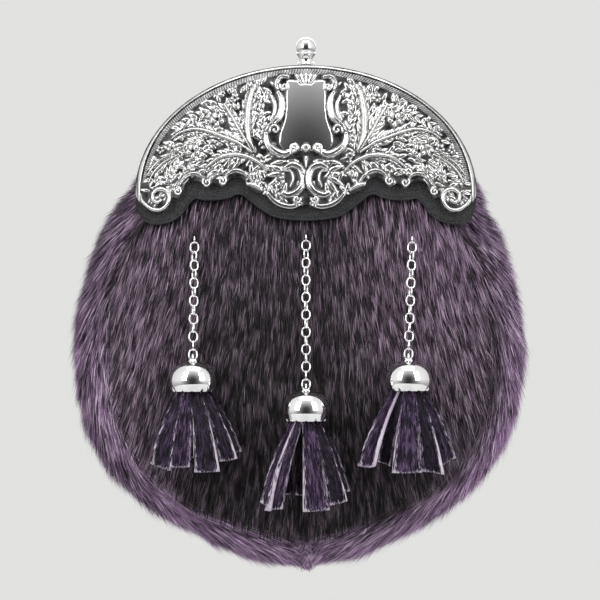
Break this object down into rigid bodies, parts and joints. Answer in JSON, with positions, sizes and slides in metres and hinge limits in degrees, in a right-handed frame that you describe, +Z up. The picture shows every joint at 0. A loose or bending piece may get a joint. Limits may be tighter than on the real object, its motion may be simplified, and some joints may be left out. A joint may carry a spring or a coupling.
{
  "type": "sporran pouch",
  "caption": "Fur pouch worn on a waist strap, with a cast cantle over scalloped leather, a leather back with a flap, and tassels that hang from chains on its front.",
  "frame": {"origin": "midway between the two strap loops on the back, in the middle of the room that the waist strap takes", "axes": "+Z up as worn, the front faces -Y, +X to the right when the front is looked at"},
  "size_m": [0.1898, 0.077, 0.2238],
  "materials": {
    "plum_fur": "short dark plum seal fur, brushed down",
    "violet_fur": "longer violet seal fur with loose tips",
    "chrome": "bright plated, dark in the recesses of the relief",
    "black_leather": "fine grained black leather",
    "furred_suede": "violet fur outside, pale lilac suede at the cut edges"
  },
  "bodies": {
    "root": {"front_panel": "plum_fur", "fur_border": "violet_fur", "back_panel": "black_leather", "back_flap": "black_leather", "flap_stud": "chrome", "strap_loop_left": "black_leather", "strap_loop_right": "black_leather", "cantle_leather": "black_leather", "cantle": "chrome", "finial_knob": "chrome", "chain_left": "chrome", "chain_middle": "chrome", "chain_right": "chrome", "tassel_dome_left": "chrome", "tassel_dome_middle": "chrome", "tassel_dome_right": "chrome", "tassel_left": "furred_suede", "tassel_middle": "furred_suede", "tassel_right": "furred_suede"}
  },
  "joints": []
}
